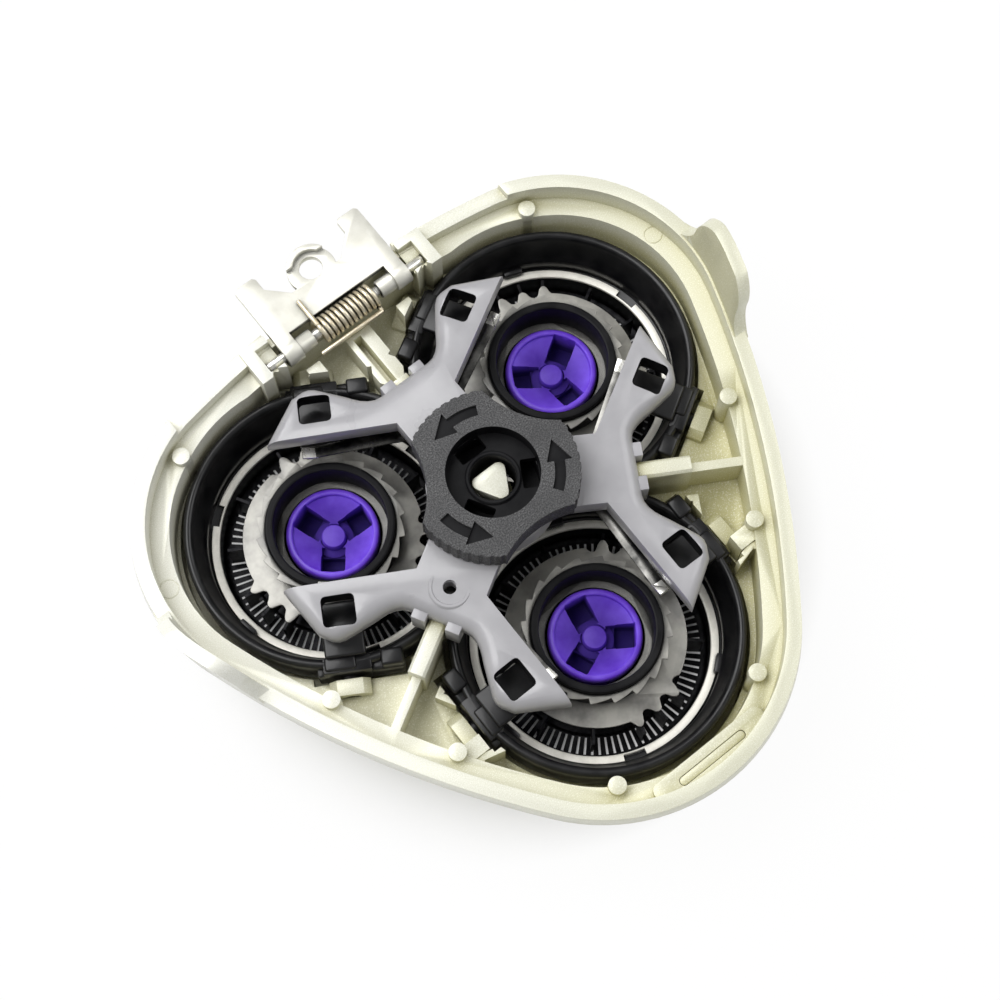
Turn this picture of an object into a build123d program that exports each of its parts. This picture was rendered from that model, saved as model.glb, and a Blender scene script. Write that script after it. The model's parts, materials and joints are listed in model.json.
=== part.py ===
from build123d import *
from math import sin, cos, radians
import os

# Layout of the head, millimetres. Worked from the knob axis, skin side at height 0.
UNIT_ANG = (30, 150, -90)   # the three cutter units
LOBE_ANG = (90, -30, 210)   # the three frame lobes, the first over the hinge

# Shell heights and walls
PLATE_Z, FLOOR_Z = 1.6, 3.4     # front plate, outside and inside
POCKET_Z, LEDGE_Z, RIM_Z = 7.0, 12.0, 14.7
RIM_T, LEDGE_T = 1.85, 3.95     # rim wall, rim wall with ledge
HINGE_RIM_Z = 13.6
REST_Z = 13.75                  # rib ends that carry the retaining frame
WING_Z = 21.3                   # grip wings on both sides
WING_Y, WING_LEN = 0.8, 5.2     # lower end of the crest, and its length
WING_LOW, WING_RAMP = 4.4, 5.2  # how far the wave takes to fall, below and above
WING_FLARE = 0.9                # how far the crest leans out

# Shaving cap
CAP_FL_R, CAP_TOP = 13.7, 4.0
FLANGE_W, CAP_WALL = 0.7, 0.4
CAP_R = CAP_FL_R - FLANGE_W
TRACK_OUT = CAP_R - 0.8         # shaving track
TRACK_IN = TRACK_OUT - 2.3
SLOTS, SLOT_W = 40, 0.6
CAP_FLOOR = 1.0                 # inner floor of the cap, inside the track
STUD_R, STUD_TOP = 1.2, 3.1

# Carrier ring round the cap, with flats towards its neighbours
SEAT_Z, SEAT_FIT = 3.38, 0.1
NECK_R, NECK_Z = CAP_FL_R + 0.7, 1.2
CAR_R, CAR_TOP, CAR_Z = NECK_R + 1.5, 10.0, 4.6
FLAT_D = CAP_FL_R + 1.15
FLAT_GAP = 1.13                 # between neighbouring flats
UNIT_R = (FLAT_D + FLAT_GAP / 2) / cos(radians(30))   # knob axis to each cutter axis
HUB_CLEAR = 3.2                 # room round the shell's post
PIN_R, PIN_FIT, PIN_Z = 1.0, 0.06, 6.6
LUG_Y0 = CAR_R + 1.0            # shell lug across the trunnion
LUG_Y1 = LUG_Y0 + 1.7
WELL_R = CAR_R + 0.7
HOLE_GAP = 0.45                 # plate hole round a carrier neck

# Shell outline: round each unit, and straight across the gaps between them
LOW_R = CAR_R + 5.3             # front arc, centred on the front unit
LOW_A = 52                      # half angle of that arc
COR_C = (UNIT_R * cos(radians(30)) + 1.5, UNIT_R / 2 + 0.5)   # centre of the corner arc
COR_R = CAR_R + 3.5
GAP_R = UNIT_R / 2 + CAR_R      # from the knob axis to the line that two carriers touch
SIDE_A = -28.5                  # outward direction of the long side
SIDE_P = ((GAP_R + 6.33) * cos(radians(-27.1)), (GAP_R + 6.33) * sin(radians(-27.1)))
TOP_Y = GAP_R + 5.5             # straight side under the hinge
FRONT_Y = -UNIT_R - LOW_R       # foremost point of the shell

# Cutter: disc, collar and coupler
DISC_Z, DISC_T = 5.2, 0.4
DISC_R = TRACK_IN + 0.1
ARM_R = DISC_R + 0.9            # tips of the disc teeth
TOOTH_A, TOOTH_STEP = 44, 14     # first of three disc teeth, and the angle between them
BLADE_R, BLADE_L, BLADE_Z = TRACK_OUT - 0.4, 1.4, 0.85
COL_R, COL_WALL, COL_TOP = 7.1, 0.9, 9.8
CROWN_R, CROWN_T, CROWN_Z, TEETH = 8.1, 0.3, 9.0, 20
COUP_R, COUP_TOP, COUP_Z = 5.2, 6.5, 1.7
STUB_R, STUB_TOP = 1.3, 5.2
SOCKET_D = 3.2                  # depth of the coupler pockets
UNIT_TURN = (38, 62, 95)        # how each coupler happens to stand
DISC_TURN = (-18, -16, 64)      # how each disc happens to stand

# Retaining frame
FR_Z, FR_SLOPE, FR_T = 15.75, 5.0, 2.2   # top at the windows, fall outward, thickness
WIN_X, WIN_Y = 9.76, 18.52
WIN_W, WIN_L, WIN_RAD = 3.2, 3.6, 0.5
FR_BORE, FR_RING = 6.0, 7.1

# Lock knob
KNOB_R, KNOB_TOP, KNOB_Z = 9.15, 20.0, 16.8
KNOB_BORE, WEB_Z, WEB_T = 4.97, 17.9, 1.0
SLEEVE_R, SLEEVE_BORE = 2.95, 2.45
SKIRT_R, SKIRT_Z = 5.92, 12.5
LUG_R = 6.7
POST_R, POST_TOP = 2.2, 16.0

# Hinge
BR_T, BR_W, BR_TOP = 0.8, 8.4, 14.6
EAR_X0 = BR_W + 0.5             # ears of the shell beside the bracket
EAR_X1 = EAR_X0 + 2.1
HP_Y, HP_Z, HP_R = GAP_R + 1.4, 13.4, 0.6
BACK_Y = HP_Y + 9.3             # tips of the bracket's horns
EYE_Y, EYE_R = BACK_Y - 3.2, 1.35   # screw eye in the bracket
HP_L = 2 * (EAR_X1 - 0.4)
KN_R, KN_X0 = 1.35, 4.5
COIL_R, COIL_BORE, COIL_X, COILS = 1.5, 0.75, 3.8, 11
Y_SHIFT = -(BACK_Y + FRONT_Y) / 2   # moves the box centre over the origin


def polar(r, a, c=(0, 0)):
    return (c[0] + r * cos(radians(a)), c[1] + r * sin(radians(a)))


def tube(ro, ri, z0, z1, at=(0, 0)):
    body = Pos(at[0], at[1], z0) * extrude(Circle(ro), z1 - z0)
    return body - Pos(at[0], at[1], z0 - 1) * extrude(Circle(ri), z1 - z0 + 2) if ri else body


def block(x0, x1, y0, y1, z0, z1):
    return Pos((x0 + x1) / 2, (y0 + y1) / 2, (z0 + z1) / 2) * Box(x1 - x0, y1 - y0, z1 - z0)


def both(shape):
    return shape + mirror(shape, Plane.YZ)


def turned(shape, angle):
    return Rot(0, 0, angle) * shape


def thrice(shape, angles=(0, 120, 240)):
    return turned(shape, angles[0]) + turned(shape, angles[1]) + turned(shape, angles[2])


def unit_place(i):
    x, y = polar(UNIT_R, UNIT_ANG[i])
    return Pos(x, y, 0) * Rot(0, 0, UNIT_ANG[i])


def prism(points, z0, z1):
    return Pos(0, 0, z0) * extrude(make_face(Polyline(*points, close=True)), z1 - z0)


# Shell outline: six arcs, grown or shrunk by g
def rim_face(g=0.0):
    low = (0, -UNIT_R)
    a, b, c = [polar(LOW_R + g, -90 + k * LOW_A, low) for k in (-1, 0, 1)]
    mid = (SIDE_P[0] + g * cos(radians(SIDE_A)), SIDE_P[1] + g * sin(radians(SIDE_A)))
    d, e, f = [polar(COR_R + g, k, COR_C) for k in (-19.5, 28, 75)]
    left = [(-p[0], p[1]) for p in (f, e, d, mid)]
    edges = [ThreePointArc(a, b, c), ThreePointArc(c, mid, d), ThreePointArc(d, e, f),
             ThreePointArc(f, (0, TOP_Y + g), left[0]), ThreePointArc(left[0], left[1], left[2]),
             ThreePointArc(left[2], left[3], a)]
    return make_face(edges)


def rim_prism(g, z0, z1):
    return Pos(0, 0, z0) * extrude(rim_face(g), z1 - z0)


def shell_outside():
    levels = ((PLATE_Z, -4.2), (FLOOR_Z, -2.3), (8.0, -0.9), (13.0, 0.0))
    lower = loft([Pos(0, 0, z) * rim_face(g) for z, g in levels])
    crest = loft([Pos(0, 0, 13.0) * rim_face(0.0), Pos(0, 0, RIM_Z) * rim_face(-0.3)])
    return lower + crest


# One side of a wing's wave, from the crest at y0 down to the rim at y1
def wave(y0, y1):
    low, high = RIM_Z - 0.4, WING_Z
    at = lambda k: y0 + k * (y1 - y0)
    mid = (at(0.5), (low + high) / 2)
    return [ThreePointArc((y0, high), (at(0.3), high - 0.95), mid), ThreePointArc(mid, (at(0.7), low + 0.95), (y1, low))]


# Grip wings: the rim rises to a crest on both sides
def wings():
    y0, y1, y2, y3 = WING_Y - WING_LOW, WING_Y, WING_Y + WING_LEN, WING_Y + WING_LEN + WING_RAMP
    base = Polyline((y3, RIM_Z - 0.4), (y3, LEDGE_Z), (y0, LEDGE_Z), (y0, RIM_Z - 0.4))
    side = make_face(wave(y1, y0) + [Line((y1, WING_Z), (y2, WING_Z))] + wave(y2, y3) + [base])
    slab = extrude(Plane.YZ * side, 45, both=True) - block(-30, 30, -60, 60, 0, 40)
    outer = loft([Pos(0, 0, RIM_Z - 0.5) * rim_face(-0.1), Pos(0, 0, WING_Z) * rim_face(WING_FLARE - 0.4)])
    inner = loft([Pos(0, 0, LEDGE_Z) * rim_face(-RIM_T), Pos(0, 0, WING_Z) * rim_face(WING_FLARE - RIM_T)])
    return slab & (outer - inner)


# Radial rib with a raised end, and the low wall beside it
def rib(side):
    end = block(15.2, 21.4, -0.95, 0.95, FLOOR_Z, REST_Z)
    end = chamfer(end.edges().filter_by(Axis.X).sort_by(Axis.Z)[-2:], 0.3)
    thin = block(21.2, GAP_R + 4.7, -0.5, 0.5, FLOOR_Z, LEDGE_Z)
    wall = block(16.4, 22.2, 2.3, 3.0, FLOOR_Z, 9.6) + block(21.5, 22.2, 2.3, 6.6, FLOOR_Z, 9.6)
    if side < 0:
        wall = mirror(wall, Plane.XZ)
    return end + thin + wall


# Boss beside a unit's well, with a web to the rim
def boss(unit, away, angle, web_to):
    x, y = polar(WELL_R + away, angle, polar(UNIT_R, UNIT_ANG[unit]))
    post = tube(0.95, 0, FLOOR_Z, 13.0, (x, y))
    dx, dy = web_to
    x0, x1 = sorted((x, x + dx))
    y0, y1 = sorted((y, y + dy))
    return post + block(x0 - 0.35, x1 + 0.35, y0 - 0.35, y1 + 0.35, FLOOR_Z, 11.6)


# Rib under the hinge: two walls with a groove between
def back_rib():
    rib_a = block(-1.6, 1.6, 15.9, HP_Y - 1.6, FLOOR_Z, 11.4) - block(-0.9, 0.1, 16.9, HP_Y - 2.3, 8.6, 12)
    return rib_a + block(-0.9, 0.9, 15.2, 16.4, FLOOR_Z, REST_Z)


def hinge_ears():
    ear = block(EAR_X0, EAR_X1 + 1.2, HP_Y - 1.6, HP_Y + 3.0, 8.0, HP_Z + 1.2)
    ear -= block(EAR_X0 - 1, EAR_X1 - 0.3, HP_Y - 1.0, HP_Y + 2.1, HP_Z + 0.1, 16)
    ear -= Pos(0, HP_Y, HP_Z) * Rot(0, 90, 0) * Cylinder(HP_R + 0.02, 2 * (EAR_X1 - 0.2))
    prop = block(5.3, 7.1, HP_Y - 4.2, HP_Y - 2.0, FLOOR_Z, 11.6) + block(7.0, 9.2, HP_Y - 3.3, HP_Y - 2.5, FLOOR_Z, 11.0)
    return both(ear), both(prop)


def trunnion_lugs():
    lug = block(-2.2, 2.2, LUG_Y0, LUG_Y1, FLOOR_Z, 8.6)
    lug = chamfer(lug.edges().filter_by(Axis.Y).sort_by(Axis.Z)[-2:], 0.8)
    return lug + mirror(lug, Plane.XZ)


def trunnion_room():
    room = block(-6.7, 3.9, CAP_FL_R - 0.7, LUG_Y0, FLOOR_Z + 0.4, 16)
    bore = Pos(0, LUG_Y0 + 0.4, PIN_Z) * Rot(90, 0, 0) * Cylinder(PIN_R + PIN_FIT, 2.6)
    return room + mirror(room, Plane.XZ), bore + mirror(bore, Plane.XZ)


def centre_post():
    tri = Pos(0, 0, 12.0) * extrude(make_hull(
        (Sketch() + [Pos(*polar(POST_R - 0.9, a)) * Circle(0.75) for a in UNIT_ANG]).edges()), POST_TOP - 12.0)
    return tube(POST_R, 0, PLATE_Z, 12.4) + tri


# Catch at the front corner: a rounded block with a long slot
def front_catch():
    catch = Pos(0, FRONT_Y + 3.1, 0) * extrude(RectangleRounded(14.2, 2.6, 0.9), 12.9)
    catch = catch & block(-20, 20, FRONT_Y, 0, FLOOR_Z, 20)
    return catch, Pos(0, FRONT_Y + 2.9, 9.4) * extrude(SlotOverall(8.6, 1.0), 5)


def pocket_walls():
    wall = prism([(-0.3, -3.8), (2.7, -3.1), (3.7, -4.4), (1.5, -7.8), (1.0, -7.4), (2.9, -4.5), (2.3, -3.9),
                  (-0.1, -4.5)], FLOOR_Z, 11.4)
    return both(Pos(CAR_R, -UNIT_R) * wall)


def head_shell():
    body = shell_outside()
    body -= block(-22.6, 22.6, 20, 40, HINGE_RIM_Z, 30)
    body -= rim_prism(-RIM_T, LEDGE_Z, 30)
    body -= rim_prism(-LEDGE_T, POCKET_Z, 30)
    for i in range(3):
        x, y = polar(UNIT_R, UNIT_ANG[i])
        body -= tube(WELL_R, 0, FLOOR_Z, 30, (x, y))
    body += wings()
    room, bore = trunnion_room()
    ears, props = hinge_ears()
    catch, slot = front_catch()
    inside = rim_prism(-RIM_T / 2, FLOOR_Z - 0.2, 30)
    extra = turned(rib(-1), LOBE_ANG[1]) + turned(rib(1), LOBE_ANG[2])
    extra += back_rib() + props + pocket_walls() + catch
    extra += both(boss(2, 3.5, -5, (-2.6, -1.2)) + boss(2, 0.65, -57, (0, -2.2)))
    extra += both(boss(0, 3.2, -54.5, (1.4, 0)) + boss(0, 0.7, 61, (0.6, 0.6)))
    keep = inside
    for i in range(3):
        x, y = polar(UNIT_R, UNIT_ANG[i])
        keep -= tube(WELL_R - 0.05, 0, 0, CAR_TOP + 1.5, (x, y))
    body += extra & keep
    body -= block(-EAR_X0, EAR_X0, HP_Y - 1.9, HP_Y + 8, HP_Z - 2.6, 30)
    body += ears
    body += block(-EAR_X0 + 0.1, EAR_X0 - 0.1, HP_Y + 1.7, HP_Y + 2.8, 8.0, HP_Z + 0.1) & rim_prism(-0.2, 0, 30)
    for i in range(3):
        body -= unit_place(i) * room
        body += unit_place(i) * trunnion_lugs()
        body -= unit_place(i) * bore
        x, y = polar(UNIT_R, UNIT_ANG[i])
        body -= tube(NECK_R + HOLE_GAP, 0, 0, FLOOR_Z + 1, (x, y))
    return body + centre_post() - slot


# Ring that carries one cap and tilts on two stub pins
def carrier_ring():
    hold, top = CAP_FL_R + SEAT_FIT, CAP_FL_R + 0.8
    pts = [(CAR_R, CAR_TOP), (top, CAR_TOP), (top, 6.0), (hold, 6.0), (hold, SEAT_Z),
           (CAP_R + 0.15, SEAT_Z), (CAP_R + 0.15, NECK_Z), (NECK_R, NECK_Z), (NECK_R, CAR_Z), (CAR_R, CAR_Z)]
    ring = revolve(Plane.XZ * make_face(Polyline(*pts, close=True)), Axis.Z)
    for a in (150, 210):
        ring -= turned(block(FLAT_D, FLAT_D + 5, -20, 20, 0, 20), a)
    ring -= tube(HUB_CLEAR, 0, 0, 20, (-UNIT_R, 0))
    lug = block(-2.6, 2.6, CAR_R - 1.3, LUG_Y0 - 0.5, CAR_Z + 0.2, CAR_TOP - 0.6)
    lug += block(-6.1, 3.3, CAR_R - 1.6, LUG_Y0 - 0.4, CAR_Z + 0.6, CAR_TOP - 0.8)
    lug += block(-1.4, 3.2, CAR_R - 1.0, CAR_R + 0.2, CAR_TOP - 1.2, CAR_TOP + 0.5)
    pin = Pos(0, LUG_Y0 - 0.1, PIN_Z) * Rot(90, 0, 0) * Cylinder(PIN_R, 3.0)
    side = lug + pin
    hooks = [turned(block(CAP_FL_R - 0.4, CAP_FL_R + 0.3, -1.1, 1.1, CAP_TOP + 0.05, CAP_TOP + 1.0), a)
             for a in (40, 160, 280)]
    ring += side + mirror(side, Plane.XZ)
    return ring + hooks


# Slotted cap: shaving track, skirt with flange, and the stud the cutter turns on
def shaving_cap():
    pts = [(CAP_FL_R, CAP_TOP), (CAP_FL_R, SEAT_Z + 0.04), (CAP_R, SEAT_Z + 0.04), (CAP_R, 0.4),
           (CAP_R - 0.4, 0), (TRACK_IN, 0), (TRACK_IN, 0.45), (0, 0.45), (0, STUD_TOP),
           (STUD_R, STUD_TOP), (STUD_R, CAP_FLOOR), (TRACK_IN + 0.2, CAP_FLOOR), (TRACK_IN + 0.2, 0.55),
           (CAP_R - CAP_WALL, 0.55), (CAP_R - CAP_WALL, CAP_TOP)]
    cap = revolve(Plane.XZ * make_face(Polyline(*pts, close=True)), Axis.Z)
    slot = Pos((TRACK_IN + 0.4 + TRACK_OUT) / 2, 0) * Rectangle(TRACK_OUT - TRACK_IN - 0.4, SLOT_W)
    slots = Sketch() + [turned(slot, 360 / SLOTS * k) for k in range(SLOTS)]
    cap -= Pos(0, 0, -1) * extrude(slots, 2)
    return cap - [turned(block(CAP_FL_R - 0.5, CAP_FL_R + 1, -1.2, 1.2, 3.0, 5.0), a) for a in (100, 220, 340)]


# Outline of the cutter disc: three long arcs with three pointed teeth after each
def disc_face():
    edges = []
    for a in (0, 120, 240):
        teeth = [polar(DISC_R, a + TOOTH_A - 6)]
        for k in range(3):
            t = a + TOOTH_A + k * TOOTH_STEP
            teeth += [polar(ARM_R - 0.3 * (k == 1), t), polar(DISC_R - 0.15 * k, t + TOOTH_STEP * 0.55)]
        end = a + TOOTH_A + TOOTH_STEP * 2.55
        teeth[-1] = polar(DISC_R, end)
        start = end - 120
        edges += [ThreePointArc(polar(DISC_R, start), polar(DISC_R, (start + a + TOOTH_A - 6) / 2), teeth[0]),
                  Polyline(*teeth)]
    return make_face(edges) - Circle(COUP_R + 0.06)


# Disc with blades bent down into the cap's track and a toothed crown round the collar
def cutter_disc():
    disc = Pos(0, 0, DISC_Z) * extrude(disc_face(), DISC_T)
    mid = (BLADE_Z + DISC_Z) / 2
    root = DISC_R - 0.6
    leaf = Pos((BLADE_R + root) / 2, 0.4, mid) * Rot(20, 0, 0) * Box(BLADE_R - root, 0.35, DISC_Z - BLADE_Z + 2)
    leaf = leaf & block(0, BLADE_R + 1, -3, 3, BLADE_Z, DISC_Z + DISC_T)
    leaf -= block(0, BLADE_R - BLADE_L, -3, 3, 0, CAP_FLOOR + 1.0)
    for a in (0, 120, 240):
        for t in (TOOTH_A - 58, TOOTH_A - 28, TOOTH_A, TOOTH_A + TOOTH_STEP, TOOTH_A + 2 * TOOTH_STEP):
            disc += turned(leaf, a + t)
    saw = []
    for k in range(TEETH):
        saw += [polar(CROWN_R, 360 / TEETH * k), polar(COL_R + 0.35, 360 / TEETH * (k + 0.3))]
    crown = Pos(0, 0, CROWN_Z - CROWN_T) * extrude(make_face(Polyline(*saw, close=True)), CROWN_T)
    crown += tube(COL_R + 0.05 + CROWN_T, 0, DISC_Z, CROWN_Z)
    return disc + (crown - tube(COL_R + 0.05, 0, 0, 20))


# Black collar that stands on the disc inside the crown
def cutter_collar():
    z0 = DISC_Z + DISC_T + 0.02
    key = turned(block(COL_R - 0.4, COL_R + 0.35, -0.7, 0.7, CROWN_Z + 0.05, COL_TOP), 75)
    return tube(COL_R, 0, z0, COL_TOP) + key - tube(COL_R - COL_WALL, 0, 0, 20)


# Drive coupler: three pockets round a centre stub
def drive_coupler():
    tri = make_hull((Sketch() + [Pos(*polar(0.75, a)) * Circle(COUP_R - 0.75) for a in (0, 120, 240)]).edges())
    body = Pos(0, 0, COUP_Z) * extrude(tri, COUP_TOP - COUP_Z)
    body += thrice(block(COUP_R - 0.9, COUP_R + 0.6, -1.0, 1.0, COUP_Z + 0.5, DISC_Z - 0.02))
    body -= tube(COUP_R - 0.6, 0, COUP_TOP - 0.4, 9)
    body -= Pos(0, 0, COUP_TOP - 1.9) * extrude(turned(RegularPolygon(1.7, 6), 30), 1.6, taper=-58)
    for a in (60, 180, 300):
        body -= turned(block(STUB_R + 0.5, COUP_R - 0.85, -1.0, 1.0, COUP_TOP - SOCKET_D, 10), a)
    body += tube(STUB_R, 0, COUP_Z + 0.4, STUB_TOP)
    return body - tube(STUD_R + PIN_FIT, 0, 0, STUD_TOP + 0.3)


# Half of one frame lobe in plan, pointing along +Y
def lobe_half():
    pts = [(0, 7.0), (0, 15.5), (3.2, 15.5)]
    curve = ThreePointArc((3.2, 15.5), (5.0, 16.4), (6.1, 17.9))
    tip = Polyline((6.1, 17.9), (8.2, 20.7), (9.4, 21.35), (10.9, 21.35), (16.0, 18.95), (16.3, 16.9),
                   (3.9, 10.3), (3.9, 7.0), (0, 7.0))
    face = make_face([Line(pts[0], pts[1]), Line(pts[1], pts[2]), curve, tip])
    return face


def lobe_cut(height):
    z_mid = height + WIN_Y * sin(radians(FR_SLOPE))
    return Pos(0, 0, z_mid) * Rot(-FR_SLOPE, 0, 0) * block(-40, 40, -40, 60, 0, 30)


def frame_lobe():
    half = extrude(lobe_half(), 30)
    lobe = both(half) - lobe_cut(FR_Z)
    under = both(half) - lobe_cut(FR_Z - FR_T)
    rims = lobe.faces().sort_by(Axis.Z)[-1].edges()
    lobe = chamfer(rims.filter_by(lambda e: e.center().Y > 14.5), 0.9)
    rims = lobe.faces().filter_by(lambda f: f.normal_at().Z > 0.9).edges()
    lobe = chamfer(rims.filter_by(lambda e: 9.5 < e.center().Y < 14.5), 0.3)
    lobe -= under
    window = Rectangle(WIN_L, WIN_W)
    window = turned(chamfer(window.vertices(), WIN_RAD), 30)
    lobe -= both(Pos(WIN_X, WIN_Y, 0) * extrude(window, 40))
    leg = block(1.1, 2.7, 15.0, 16.3, 11.3, FR_Z - 0.7)
    stake = tube(0.8, 0, 11.95, FR_Z - FR_T + 0.6, (0, 11.2))
    return lobe + both(leg) + stake


def retaining_frame():
    frame = thrice(frame_lobe())
    frame += tube(FR_RING, 0, FR_Z - FR_T + 0.2, KNOB_Z - 0.35)
    frame -= tube(FR_BORE, 0, 0, 30)
    frame -= block(-40, 40, -40, 40, KNOB_Z - 0.2, 40) & tube(9.6, 0, 0, 40)
    eye = (-10.5, -6.1)
    frame += tube(2.3, 0, FR_Z - 1.5, FR_Z + 0.55, eye) - tube(1.7, 0, FR_Z + 0.25, 30, eye)
    return frame - tube(0.65, 0, 0, 30, eye)


# Turning lock in the middle
def lock_knob():
    plan = Circle(KNOB_R)
    plan -= [Pos(*polar(UNIT_R, a)) * Circle(UNIT_R - 7.0) for a in UNIT_ANG]
    plan -= [turned(Pos(KNOB_R + 0.22, 0) * Rot(0, 0, 45) * Rectangle(0.6, 0.6), a + k * 10)
             for a in LOBE_ANG for k in range(-3, 4)]
    knob = Pos(0, 0, KNOB_Z) * extrude(plan, KNOB_TOP - KNOB_Z)
    knob += tube(SKIRT_R, 0, SKIRT_Z, KNOB_Z)
    knob += tube(LUG_R, 0, SKIRT_Z, SKIRT_Z + 0.8) & thrice(block(4, 9, -2, 2, 0, 20), LOBE_ANG)
    knob -= tube(KNOB_BORE, 0, WEB_Z, 30) + tube(KNOB_BORE, 0, 0, WEB_Z - WEB_T)
    for a in LOBE_ANG:
        knob -= turned(block(3.2, KNOB_BORE, -1.35, 1.35, 15, 19), a)
        knob -= Pos(0, 0, KNOB_TOP - 0.4) * extrude(arrow(a), 2)
    knob += tube(SLEEVE_R, 0, 13.4, WEB_Z + 0.35)
    return knob - tube(SLEEVE_BORE, 0, 0, 30)


def arrow(a):
    band = Circle(7.55) - Circle(6.45)
    band &= make_face(Polyline((0, 0), polar(20, -21), polar(20, -1), close=True))
    head = make_face(Polyline(polar(5.6, -1.5), polar(8.4, -1.5), polar(7.0, 17), close=True))
    return turned(band + head, a)


# Flat spring under each frame lobe
def leaf_spring():
    plan = make_face(Polyline((0, 10.3), (2.6, 10.3), (13.2, 15.7), (12.6, 16.8), (2.6, 11.9), (0, 11.9),
                              close=True))
    strip = Pos(0, 0, 11.6) * extrude(plan, 0.3)
    tab = Pos(12.6, 16.0, 12.0) * Rot(0, 0, 27) * Rot(0, -24, 0) * Box(1.7, 1.15, 0.3)
    return both(strip + tab)


def hinge_bracket():
    plan = make_face(Polyline((-BR_W, HP_Y), (-BR_W, BACK_Y), (-BR_W + 2.8, BACK_Y), (-BR_W + 2.8, BACK_Y - 1.9),
                              (-3.4, BACK_Y - 4.1), (3.4, BACK_Y - 4.1), (BR_W - 2.8, BACK_Y - 1.9), (BR_W - 2.8, BACK_Y),
                              (BR_W, BACK_Y), (BR_W, HP_Y), close=True))
    plan = chamfer(plan.vertices().filter_by(lambda v: v.Y > BACK_Y - 0.5), 0.35)
    plan += Pos(0, EYE_Y) * Circle(2.8) + Pos(0, EYE_Y - 0.9) * Rectangle(5.2, 1.8)
    plan -= Pos(0, HP_Y - 0.6) * Rectangle(12.9, 4.3)
    plan -= Pos(0, EYE_Y + 0.2) * Circle(EYE_R)
    plate = Pos(0, 0, BR_TOP - BR_T) * extrude(plan, BR_T)
    roll = Pos(0, HP_Y, HP_Z) * Rot(0, 90, 0)
    knuckle = roll * Pos(0, 0, (6.45 + BR_W) / 2) * Cylinder(KN_R, BR_W - 6.45)
    sleeve = roll * Pos(0, 0, (KN_X0 + 6.6) / 2) * Cylinder(KN_R - 0.3, 6.6 - KN_X0)
    lip = tube(2.8, 2.1, BR_TOP - 0.1, BR_TOP + 0.7, (0, EYE_Y)) & block(-3, 3, BACK_Y - 1.9, BACK_Y + 0.5, 10, 20)
    bracket = plate + both(knuckle + sleeve) + lip
    return bracket - roll * Cylinder(HP_R + PIN_FIT, 30)


def hinge_pin():
    return Pos(0, HP_Y, HP_Z) * Rot(0, 90, 0) * Cylinder(HP_R, HP_L)


# Torsion spring: grooved coil body and two legs
def hinge_spring():
    step = 2 * COIL_X / COILS
    pts = [(-COIL_X, COIL_BORE)]
    for k in range(COILS):
        x = -COIL_X + k * step
        pts += [(x, COIL_R - 0.25), (x + step / 2, COIL_R)]
    pts += [(COIL_X, COIL_R - 0.25), (COIL_X, COIL_BORE)]
    coil = revolve(Plane.XY * make_face(Polyline(*pts, close=True)), Axis.X)
    coil = Pos(0, HP_Y, HP_Z) * coil
    rod = 0.22
    hold = Pos(-3.5, HP_Y + 2.0, BR_TOP + rod + 0.02) * Rot(90, 0, 0) * Cylinder(rod, 3.6)
    drop = Pos(3.5, HP_Y - 1.2, HP_Z - 0.55) * Rot(90, 0, 0) * Cylinder(rod, 1.9)
    rest = Pos(-0.6, HP_Y - 2.05, HP_Z - 0.55) * Rot(0, 90, 0) * Cylinder(rod, 8.4)
    return coil + hold + drop + rest


os.makedirs("parts", exist_ok=True)


def save(shape, name):
    export_step(Pos(0, Y_SHIFT, 0) * shape, "parts/" + name + ".step")


save(head_shell(), "head_shell")
save(retaining_frame(), "retaining_frame")
save(lock_knob(), "lock_knob")
save(hinge_bracket(), "hinge_bracket")
save(hinge_pin(), "hinge_pin")
save(hinge_spring(), "hinge_spring")
for k, letter in enumerate("abc"):
    save(turned(leaf_spring(), LOBE_ANG[k] - 90), "leaf_spring_" + letter)
for i in range(3):
    turn = Rot(0, 0, UNIT_TURN[i])
    n = str(i + 1)
    save(unit_place(i) * carrier_ring(), "carrier_ring_" + n)
    save(unit_place(i) * shaving_cap(), "shaving_cap_" + n)
    save(unit_place(i) * Rot(0, 0, DISC_TURN[i]) * cutter_disc(), "cutter_disc_" + n)
    save(unit_place(i) * turn * cutter_collar(), "cutter_collar_" + n)
    save(unit_place(i) * turn * drive_coupler(), "drive_coupler_" + n)
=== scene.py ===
# %% [markdown]
# A rotary shaver head seen from its inside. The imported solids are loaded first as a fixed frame.
# They are exact but plain, so each one either gets a good finish or is covered by a finer piece that is
# modelled here and rides on the same body. Everything is in metres, in the frame's own coordinates.

# %% Load the frame
import json
import math

import bpy
from mathutils import Matrix, Vector


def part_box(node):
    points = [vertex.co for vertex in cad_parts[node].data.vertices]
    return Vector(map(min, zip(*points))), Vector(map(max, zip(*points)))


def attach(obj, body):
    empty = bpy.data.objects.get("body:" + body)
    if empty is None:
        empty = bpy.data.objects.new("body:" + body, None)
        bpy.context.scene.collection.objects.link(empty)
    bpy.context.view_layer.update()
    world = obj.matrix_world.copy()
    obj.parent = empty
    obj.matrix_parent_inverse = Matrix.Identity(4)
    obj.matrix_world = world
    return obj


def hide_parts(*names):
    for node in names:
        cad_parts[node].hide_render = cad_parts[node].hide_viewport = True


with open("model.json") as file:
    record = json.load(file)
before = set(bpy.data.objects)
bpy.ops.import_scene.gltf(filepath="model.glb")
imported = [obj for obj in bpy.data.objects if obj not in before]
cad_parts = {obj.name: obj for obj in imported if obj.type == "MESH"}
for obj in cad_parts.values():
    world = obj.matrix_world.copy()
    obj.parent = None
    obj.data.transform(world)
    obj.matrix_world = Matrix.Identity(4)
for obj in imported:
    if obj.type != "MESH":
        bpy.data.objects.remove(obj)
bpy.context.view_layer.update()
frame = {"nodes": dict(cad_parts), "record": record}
nodes = frame["nodes"]
MM = 0.001
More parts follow.
